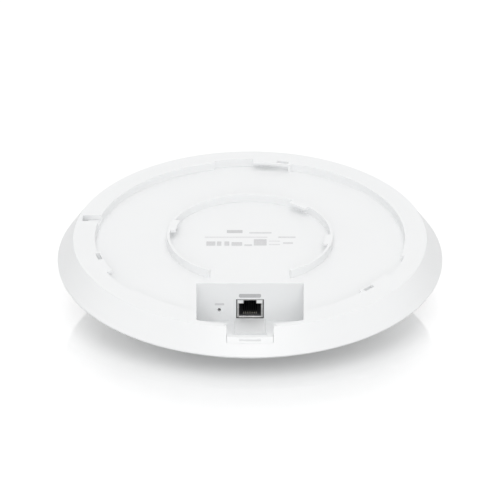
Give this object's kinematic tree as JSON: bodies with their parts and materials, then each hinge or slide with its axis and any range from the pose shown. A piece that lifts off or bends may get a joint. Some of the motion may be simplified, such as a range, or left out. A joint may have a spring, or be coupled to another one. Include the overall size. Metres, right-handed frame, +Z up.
{
  "type": "ceiling access point",
  "caption": "Round white ceiling access point: domed front, flat back with bayonet hooks and an open port bay, a network socket, a reset button and a lift-out cable door.",
  "frame": {"origin": "centre of the mounting plane, the flat rim that meets the ceiling bracket", "axes": "+Z points up to the ceiling along the bracket axis, the dome hangs at -Z, and the network socket faces -Y"},
  "size_m": [0.22, 0.22, 0.0481],
  "materials": {
    "back_cover_white": "fine satin moulded polycarbonate",
    "cable_door_white": "fine satin moulded polycarbonate",
    "front_cover_white": "smooth satin moulded polycarbonate",
    "clear_light_guide": "milky clear acrylic",
    "circuit_board": "solder mask over glass epoxy",
    "cast_plate": "as cast",
    "led": "clear epoxy over a white lamp",
    "screw_steel": "zinc plated",
    "chip_black": "moulded epoxy",
    "thermal_pad": "soft silicone",
    "shield_steel": "tin plated",
    "magnetic_core": "ferrite and epoxy",
    "capacitor_can": "bare can",
    "antenna_metal": "nickel silver strip",
    "socket_metal": "tin plated sheet",
    "socket_plastic": "black moulded nylon",
    "window_plastic": "milky clear",
    "contact_gold": "gold plated",
    "foam": "closed foam",
    "switch_black": "moulded nylon",
    "button_grey": "moulded nylon",
    "print_grey": "pad print"
  },
  "bodies": {
    "housing": {"antenna_24ghz_1": "antenna_metal", "antenna_24ghz_2": "antenna_metal", "antenna_24ghz_3": "antenna_metal", "antenna_24ghz_4": "antenna_metal", "antenna_5ghz_1": "antenna_metal", "antenna_5ghz_2": "antenna_metal", "antenna_5ghz_3": "antenna_metal", "antenna_5ghz_4": "antenna_metal", "back_cover": "back_cover_white", "board_screws": "screw_steel", "capacitors": "capacitor_can", "chassis_plate": "cast_plate", "front_cover": "front_cover_white", "inductors": "magnetic_core", "jack_contacts": "contact_gold", "jack_gasket": "foam", "jack_insert": "socket_plastic", "jack_light_pipes": "window_plastic", "jack_shield": "socket_metal", "led_board": "circuit_board", "led_board_screws": "screw_steel", "light_ring": "clear_light_guide", "main_board": "circuit_board", "memory_chips": "chip_black", "network_transformer": "magnetic_core", "power_transformer": "magnetic_core", "processor": "chip_black", "radio_chips": "chip_black", "radio_shield_1": "shield_steel", "radio_shield_2": "shield_steel", "reset_switch_body": "switch_black", "status_leds": "led", "thermal_pads": "thermal_pad"},
    "button": {"reset_button": "button_grey"},
    "door": {"cable_door": "cable_door_white"}
  },
  "joints": [
    {"name": "reset_press", "type": "slide", "parent": "housing", "child": "button", "axis": [0, 1, 0], "range_m": [0, 0.0005], "stiffness_N_per_m": 2000},
    {"name": "door_lift", "type": "slide", "parent": "housing", "child": "door", "axis": [0, 0, 1], "range_m": [0, 0.012]}
  ]
}
